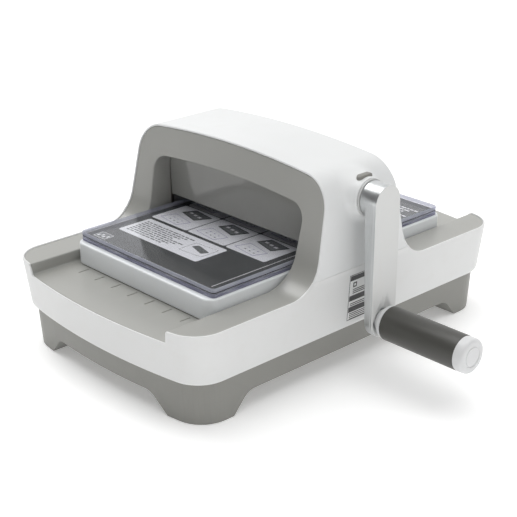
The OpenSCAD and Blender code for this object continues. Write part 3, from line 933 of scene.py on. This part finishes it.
def metal(name, colour, rough=0.32, along=(1.0, 1.0, 0.04), depth=0.12):
    """Metal with fine lines left by brushing or turning, and a little handling haze"""
    f = Finish(name)
    base = vec(*colour)
    lines = f.noise(2600.0, 3.0, 0.6, squash=along)
    haze = f.noise(55.0, 4.0, 0.6)
    bright = tuple(np.minimum(base * 1.05, 1))
    c = f.mix(f.remap(lines, 0.3, 0.7, 0.0, 1.0), tuple(base * 0.92), bright)
    c = f.mix(f.remap(haze, 0.5, 0.8, 0.0, 0.35), c, tuple(base * vec(0.9, 0.88, 0.85)))
    r = f.remap(haze, 0.3, 0.75, rough - 0.05, rough + 0.08)
    f.surface(c, r, f.bump(lines, depth, 0.0001), Metallic=1.0)
    return f.mat


white_band = moulded("white_band_plastic", (0.785, 0.79, 0.785))
white_cover = moulded("white_cover_plastic", (0.805, 0.815, 0.815), rough=0.38)
grey_tray = moulded("grey_tray_plastic", (0.362, 0.362, 0.34), rough=0.3, depth=0.04, gloss=0.7)
grey_base = moulded("grey_base_plastic", (0.252, 0.25, 0.231), rough=0.42, depth=0.08)
button_grey = moulded("button_plastic", (0.24, 0.235, 0.215), rough=0.4)
silver = metal("arm_metal", (0.66, 0.675, 0.68), rough=0.32, depth=0.06)
inlay_paint = moulded("arm_inlay_paint", (0.72, 0.725, 0.715), rough=0.36, mottle=0.03, wear=1.0)
ring_grey = moulded("hub_ring_plastic", (0.55, 0.555, 0.55), rough=0.32)
collar_white = moulded("grip_white_plastic", (0.74, 0.745, 0.75), rough=0.33)
grip_dark = moulded("grip_dark_plastic", (0.072, 0.071, 0.064), rough=0.36, depth=0.08, mottle=0.08)
platform_white = moulded("platform_plastic", (0.84, 0.865, 0.88), rough=0.3)
steel = metal("turned_steel", (0.56, 0.57, 0.58), rough=0.3, along=(0.04, 1, 1))
plated = metal("plated_sheet", (0.60, 0.60, 0.58), rough=0.42, along=(1, 0.05, 1))
bronze = metal("bush_bronze", (0.55, 0.38, 0.20), rough=0.4)
nylon = moulded("gear_nylon", (0.62, 0.60, 0.53), rough=0.45)
rubber = moulded("foot_rubber", (0.028, 0.028, 0.028), rough=0.8, depth=0.3, mottle=0.1)


def clear_plastic(name, tint, share, rough=0.05, sheen=True):
    """Clear sheet: mostly see-through, with haze, fine scuffs and a gloss that grows at a slant"""
    f = Finish(name)
    haze = f.noise(30.0, 3.0)
    scuff = f.noise(260.0, 3.0, 0.6, squash=(1, 0.2, 1))
    c = f.mix(f.remap(haze, 0.3, 0.7, 0, 1), tuple(vec(*tint) * 0.94), tint)
    r = f.remap(scuff, 0.35, 0.75, rough, rough + 0.05)
    p = f.surface(c, r, f.bump(scuff, 0.004, 0.0001), IOR=1.49)
    mixer = f.see_through(p, tint, share)
    if sheen:
        p.inputs["Metallic"].default_value = 1.0
        slant = f.node("ShaderNodeMath", operation="POWER")
        f.link(f.node("ShaderNodeLayerWeight", Blend=0.5).outputs["Facing"], slant.inputs[0])
        slant.inputs[1].default_value = 5.0
        f.link(f.remap(slant.outputs[0], 0, 1, share, 1.0), mixer.inputs["Fac"])
    return f.mat


def pad_edge_plastic():
    """Sawn edge of the clear pads: bluish lines along it, and a painted highlight along each pad's top
    arris
    """
    f = Finish("clear_pad_edge")
    xyz = f.node("ShaderNodeSeparateXYZ")
    f.link(f.coord, xyz.inputs["Vector"])
    layer = PAD_T + SHEET_T
    layers = f.remap(xyz.outputs["Z"], PAD_Z * MM, (PAD_Z + 2 * layer) * MM, 0, 2)
    part = f.node("ShaderNodeMath", operation="FRACT")
    f.link(layers, part.inputs[0])
    streak = f.noise(900.0, 3.0, 0.6, squash=(0.05, 0.05, 1))
    patch = f.noise(60.0, 3.0, 0.6, squash=(1, 1, 0.3))
    c = f.mix(f.remap(layers, 0.4, 1.4, 0, 1), (0.26, 0.26, 0.38), (0.58, 0.60, 0.70))
    c = f.mix(f.remap(part.outputs[0], 0.03, 0.16, 0.8, 0), c, (0.12, 0.12, 0.22))
    # painted highlight: a light line near the top of each pad, where its rounded arris would catch the
    # light
    c = f.mix(f.remap(part.outputs[0], 0.72, 0.84, 0, 0.5), c, (0.80, 0.82, 0.90))
    c = f.mix(f.remap(streak, 0.4, 0.68, 0, 0.8), c, (0.78, 0.80, 0.90))
    c = f.mix(f.remap(patch, 0.5, 0.7, 0, 0.2), c, (0.16, 0.16, 0.28))
    p = f.surface(c, f.remap(streak, 0.3, 0.7, 0.12, 0.28), f.bump(streak, 0.1, 0.0001), IOR=1.49)
    f.see_through(p, (0.80, 0.81, 0.92), 0.55)
    return f.mat


pad_face = clear_plastic("clear_pad_face", (0.95, 0.955, 0.97), 0.03)
pad_edge = pad_edge_plastic()
smoked = clear_plastic("smoked_panel_plastic", (0.47, 0.47, 0.445), 0.75, rough=0.06, sheen=False)
sheet_ink = moulded("sheet_ink", (0.036, 0.038, 0.037), rough=0.5, depth=0.02, mottle=0.12, gloss=0.3)
sheet_white = moulded("sheet_white", (0.84, 0.83, 0.83), rough=0.5, depth=0.02, mottle=0.03)
sheet_grey = moulded("sheet_grey", (0.13, 0.135, 0.13), rough=0.5, depth=0.02)
sheet_violet = moulded("sheet_violet", (0.34, 0.30, 0.46), rough=0.5, depth=0.02)
label_ink = moulded("label_ink", (0.05, 0.05, 0.05), rough=0.45, depth=0.02)

# ------------------------ pieces
piece(
    "band", "housing", [loft(all_round(band_rings()), path_closed=True)], white_band,
    ["band_shell"], sharp=40, trim=[(SEAM_Z - 0.1, False)],
)
piece(
    "cover", "housing", [cover_solid()], white_cover, ["arch_cover"],
    sharp=40, trim=[(SEAM_Z + 0.1, True)],
)
tray("tray_front", "front_tray", -1, True)
tray("tray_rear", "rear_tray", 1, False)

piece("arm", "crank_body", [arm_solid(), head_solid()], silver, ["crank_arm"])
inlay = piece(
    "arm_inlay", "crank_body", [inlay_solid()], [inlay_paint, silver], ["crank_face"]
)
# the inlay's rim shows the arm's metal, its dish the paint, and its face is flat
for f in inlay.data.polygons:
    side = abs(f.normal.x) < 0.3 and f.center.x / MM - MID_X < FACE_X - 0.3
    outside = hypot(f.center.y, f.center.z - GRIP_Z * MM) > 11 * MM
    f.material_index = 1 if side and outside else 0
    f.use_smooth = f.normal.x < 0.99999


def turned(name, body, points, radii, z, material, node):
    """A turned piece about the crank's or the grip's axis, from its (x, radius) corners"""
    on_axis = points[0][1] == 0
    profile = softened(points, radii, closed=not on_axis)
    return piece(name, body, [lathe(profile, z)], material, [node])


hub_end, hub_hole, hub_r = BOSS_X + 1.6, 11.0, 14.0
turned(
    "hub_collar", "housing",
    [(BOSS_X, hub_hole), (BOSS_X, hub_r), (hub_end, hub_r), (hub_end, hub_hole)],
    [0.2, 0.5, 0.5, 0.2], CRANK_Z, ring_grey, "hub_ring",
)
piece("button", "button_body", [button_solid()], button_grey, ["release_button"])
collar_x, core_end, bore_r, core_r = 130.2, 204, 4.6, 9.0
turned(
    "grip_collar", "grip_body",
    [(collar_x, bore_r), (collar_x, 8.8), (133.2, 9.2), (134.6, 12.5), (SLEEVE_X, 12.6),
     (SLEEVE_X, core_r), (core_end, core_r), (core_end, bore_r)],
    [0.1, 0.4, 0.6, 0.9, 0.2, 0.1, 0.1, 0.1], GRIP_Z, collar_white, "grip_core",
)
sleeve_x0, sleeve_x1, sleeve_bore = SLEEVE_X + 0.05, CAP_X - 0.05, 9.1
turned(
    "grip_cover", "grip_body",
    [(sleeve_x0, sleeve_bore), (sleeve_x0, GRIP_R), (sleeve_x1, GRIP_R), (sleeve_x1, sleeve_bore)],
    [0.1, 0.9, 0.5, 0.1], GRIP_Z, grip_dark, "grip_sleeve",
)
cap_end, cap_r, groove = CAP_X + CAP_T, GRIP_R - 0.1, 0.5
turned(
    "grip_cap", "grip_body",
    [(CAP_X, 0), (CAP_X, cap_r), (cap_end, cap_r), (cap_end, 8.3), (cap_end - groove, 8.0),
     (cap_end - groove, 7.2), (cap_end, 6.9), (cap_end, 0)],
    [0, 0.3, 2.9, 0.2, 0.15, 0.15, 0.2, 0], GRIP_Z, collar_white, "grip_end_cap",
)

air = 0.02  # left between pieces that lie on each other
piece(
    "platform", "platform_body",
    [flat_plate(PLAT_X, PLAT_L, 9, PLAT_Z, PAD_Z - air, n_corner=8, top=1.5, low=1.3, n=5)],
    platform_white, ["platform_base"],
)
for name, node, z in (("pad_low", "lower_pad", PAD_Z), ("pad_top", "upper_pad", PAD_Z + PAD_T + SHEET_T)):
    slab = flat_plate(PAD_X, PAD_L, 3.5, z + air, z + PAD_T - air, top=0.5, low=0.4)
    pad = piece(name, "platform_body", [slab], [pad_face, pad_edge], [node])
    for f in pad.data.polygons:
        f.material_index = 0 if abs(f.normal.z) > 0.9 else 1


# ------------------------ the sheet's plain print
SHEET_TOP = PAD_Z + PAD_T + SHEET_T - 0.1
INK, CARD, MID, VIOLET = 0, 1, 2, 3


def patch(points, radius, layer, finish):
    """A flat printed shape, a little proud of the one under it"""
    path = softened(points, [radius] * len(points), n=4)
    rings = [[vec(x, y, SHEET_TOP + z) for x, y in path] for z in (0.01 * layer, 0.01 * layer + 0.02)]
    return (*loft(rings), finish)


def block(x0, x1, y0, y1, layer, finish, radius=0.0):
    """A printed rectangle"""
    return patch([(x0, y0), (x1, y0), (x1, y1), (x0, y1)], radius, layer, finish)


def framed(points, width, layer, finish, fill):
    """A framed shape: the frame, and its filling drawn in towards the middle"""
    mid = sum(vec(*p) for p in points) / len(points)
    size = min(np.linalg.norm(vec(*p) - mid) for p in points)
    inner = [tuple(mid + (vec(*p) - mid) * (1 - width / size)) for p in points]
    return [patch(points, 1.2, layer, finish), patch(inner, 0.8, layer + 1, fill)]


def dashes(x0, x1, y0, y1, rows, layer, finish):
    """Rows of plain dashes of changing length, as filler for lines of print"""
    out = []
    pitch = (y1 - y0) / rows
    for i in range(rows):
        x, k = x0, 0
        y = y1 - pitch * (i + 1)
        stop = x1 - (x1 - x0) * 0.09 * (i * 5 % 4)
        while x < stop - 1.5:
            size = 2.2 + 1.1 * ((i * 3 + k * 5) % 4)
            out.append(block(x, min(x + size, stop), y, y + pitch * 0.5, layer, finish))
            x, k = x + size + 1.0, k + 1
    return out


def step_picture(x, y, w, h):
    """A white card with two slanted pad shapes, one dark and one pale"""
    top, right = y + h, x + w
    out = [block(x, right, y, top, 0, CARD, 2.4)]
    dark = [(x + 9, top - 13), (x + 15, top - 2), (right - 5, top - 5), (right - 12, top - 19)]
    pale = [(x + 4, y + 6), (x + 9, y + 19), (right - 10, y + 14), (right - 15, y + 2.5)]
    out += framed(dark, 2.2, 1, INK, MID)
    out += framed(pale, 0.9, 1, VIOLET, CARD)
    for i in range(3):
        for j in range(2):
            bx, by = x + 13 + 5.5 * i, y + 8 + 4.2 * j - 0.8 * i
            out.append(block(bx, bx + 1.8, by, by + 1.0, 3, VIOLET if j else INK))
        bx, by = x + 15 + 6 * i, top - 10 - 1.2 * i
        out.append(block(bx, bx + 3.6, by, by + 2.4, 3, CARD))
    return out


def sheet_print():
    """The whole print: nine cards, a wide card before them and dashes behind and at one side"""
    out = []
    card_w, card_h = 43, 37.5
    for k in range(3):
        for row in range(3):
            out += step_picture(-71 + (card_w + 1.2) * k, -55 + (card_h + 1) * row, card_w, card_h)
    out.append(block(-68, 25, -91, -58.5, 0, CARD, 2.6))
    out += dashes(-64, -7, -86, -62, 8, 1, MID)
    out += framed([(-3, -84), (-3, -66), (21, -64), (21, -82)], 0.5, 1, INK, CARD)
    out += framed([(0, -73), (3, -68), (19, -72), (16, -78)], 0.7, 3, INK, MID)
    out += framed([(-71, -113), (-71, -103), (-57, -103), (-57, -113)], 0.7, 0, CARD, MID)
    for i in range(4):
        out.append(block(-69 + 3 * i, -67.4 + 3 * i, -111 + (i % 2) * 2, -108 + (i % 2) * 2, 2, CARD))
    out += dashes(20, 70, 66, 112, 12, 0, CARD)
    out += dashes(-68, -4, 66, 112, 12, 0, CARD)
    out.append(block(66.5, 67.2, -112, 60, 0, CARD))
    return out


sheet_slab = flat_plate(
    PAD_X - 0.3, PAD_L - 0.6, 3, SHEET_TOP - 0.4, SHEET_TOP, top=0.05, low=0.05, n=1
)
piece(
    "sheet", "platform_body", [(*sheet_slab, INK)] + sheet_print(),
    [sheet_ink, sheet_white, sheet_grey, sheet_violet], ["printed_sheet"],
)


def side_label():
    """A plain stick-on label low on the right side, with bars in place of words"""
    y0, y1, z0, z1 = -13.0, 13.0, 39.5, 77.0
    rim, bar, pale, dark = 0.5, 0.8, 0, 1

    def tile(a, b, c, d, proud, finish):
        rings = []
        for n in (-0.05, proud):
            corners = ((a, c), (b, c), (b, d), (a, d))
            rings.append([vec(band_size(z)[0] + n, y, z) for y, z in corners])
        return (*loft(rings), finish)

    out = [
        tile(y0, y1, z0, z1, 0.05, dark),
        tile(y0 + rim, y1 - rim, z0 + rim, z1 - rim, 0.07, pale),
        tile(y0 + 4, y0 + 8, 66.5, 70.5, 0.1, dark),
        tile(y0 + 5, y0 + 7, 67.5, 69.5, 0.12, pale),
    ]
    for k, (top, rows, inset) in enumerate(((65.0, 3, 4.0), (53.5, 3, 2.0), (45.2, 4, 2.0))):
        for i in range(rows):
            z = top - 1.5 * i
            out.append(tile(y0 + inset, y1 - 1.2 - (i * 3 + k) % 4, z - 0.75, z, 0.1, dark))
    for top, tall in ((76.2, 4.0), (59.8, 4.4), (50.3, 4.2)):
        out.append(tile(y0 + bar, y1 - bar, top - tall, top, 0.1, dark))
    return out


piece("side_label", "housing", side_label(), [white_band, label_ink])


def shield(name, node, sign):
    """A smoked panel that fills the mouth above the pads: sign -1 for the front, 1 for the rear"""
    clear = 0.08
    path = [vec(leg_x(SHIELD_Z) - clear, SHIELD_Z)] + mouth_line(10, 6, -clear)
    full = path + [vec(-p[0], p[1]) for p in path[::-1]][1:]
    pairs = []
    for i, p in enumerate(full):
        t = unit(full[(i + 1) % len(full)] - full[i - 1])
        pairs.append((p, vec(t[1], -t[0])))
    slab = plate(
        pairs, SHIELD_Y0, SHIELD_Y1 - 0.05, top=0.25, low=0.25,
        place=lambda x, z, y: vec(x, sign * y, z),
    )
    return piece(name, "housing", [slab], smoked, [node])


shield("panel_front", "front_shield", -1)
shield("panel_rear", "rear_shield", 1)

finishes = (
    (grey_base, ("base_pan",)),
    (rubber, ("rubber_feet",)),
    (plated, ("frame_plate", "side_plate_left", "side_plate_right")),
    (bronze, ("roller_bushes", "crank_bush")),
    (nylon, ("upper_sync_gear", "lower_sync_gear", "upper_drive_gear")),
    (steel, ("base_screws", "tie_rods", "upper_roller", "lower_roller", "drive_pinion",
             "crank_shaft", "grip_spindle", "spindle_washer", "button_spring")),
)
for material, nodes in finishes:
    for node in nodes:
        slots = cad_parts[node].data.materials
        slots.clear()
        slots.append(material)

# ------------------------ stage, light and camera
def studio_floor(half=6):
    """A plain pale floor, in metres, that glows a little"""
    mesh = bpy.data.meshes.new("floor")
    corners = [(-half, -half, 0), (half, -half, 0), (half, half, 0), (-half, half, 0)]
    mesh.from_pydata(corners, [], [(0, 1, 2, 3)])
    floor = bpy.data.objects.new("floor", mesh)
    bpy.context.scene.collection.objects.link(floor)
    f = Finish("studio_floor")
    pale = f.mix(f.remap(f.noise(2.0), 0.3, 0.7, 0, 1), (0.96, 0.96, 0.958), (0.975, 0.975, 0.973))
    f.surface(pale, 0.6, Emission_Color=(1, 1, 1, 1), Emission_Strength=0.23)
    floor.data.materials.append(f.mat)


studio_floor()

world = bpy.data.worlds.new("studio")
bpy.context.scene.world = world
world.use_nodes = True
tree = world.node_tree
lit = tree.nodes["Background"]
lit.inputs["Color"].default_value = (1, 1, 1, 1)
# a bright wall behind and to the left of the machine, a dimmer one before it
bright_side = (-0.727, 0.687, 0.0)
heading = tree.nodes.new("ShaderNodeVectorMath")
heading.operation = "DOT_PRODUCT"
heading.inputs[1].default_value = bright_side
tree.links.new(tree.nodes.new("ShaderNodeTexCoord").outputs["Generated"], heading.inputs[0])
strength = tree.nodes.new("ShaderNodeMapRange")
for key, value in (("From Min", 0.0), ("From Max", 1.0), ("To Min", 0.12), ("To Max", 1.0)):
    strength.inputs[key].default_value = value
tree.links.new(heading.outputs["Value"], strength.inputs["Value"])
tree.links.new(strength.outputs["Result"], lit.inputs["Strength"])


def soft_sun(name, energy, spread, tilt):
    """A broad soft lamp far away, tilted by degrees from straight overhead to the right"""
    lamp = bpy.data.lights.new(name, "SUN")
    lamp.energy = energy
    lamp.angle = radians(spread)
    holder = bpy.data.objects.new(name, lamp)
    holder.rotation_euler = (0, radians(tilt), 0)
    bpy.context.scene.collection.objects.link(holder)


soft_sun("overhead", 1.75, 70, 0)
soft_sun("left_box", 0.75, 30, -45)
soft_sun("right_fill", 0.62, 90, 68)

azimuth, height, distance = radians(46.57), radians(22.66), 1.0138
target = Vector(((1.7 + MID_X) * MM, -0.0048, 0.0563))
flat = cos(height)
backwards = Vector((sin(azimuth) * flat, -cos(azimuth) * flat, sin(height)))
cam = bpy.data.cameras.new("camera")
cam.lens, cam.sensor_width = 88.02, 36
cam.clip_start, cam.clip_end = 0.01, 60
camera = bpy.data.objects.new("camera", cam)
camera.location = target + backwards * distance
camera.rotation_mode = "QUATERNION"
camera.rotation_quaternion = (-backwards).to_track_quat("-Z", "Y")
bpy.context.scene.collection.objects.link(camera)
bpy.context.scene.camera = camera
bpy.context.scene.view_settings.view_transform = "Standard"
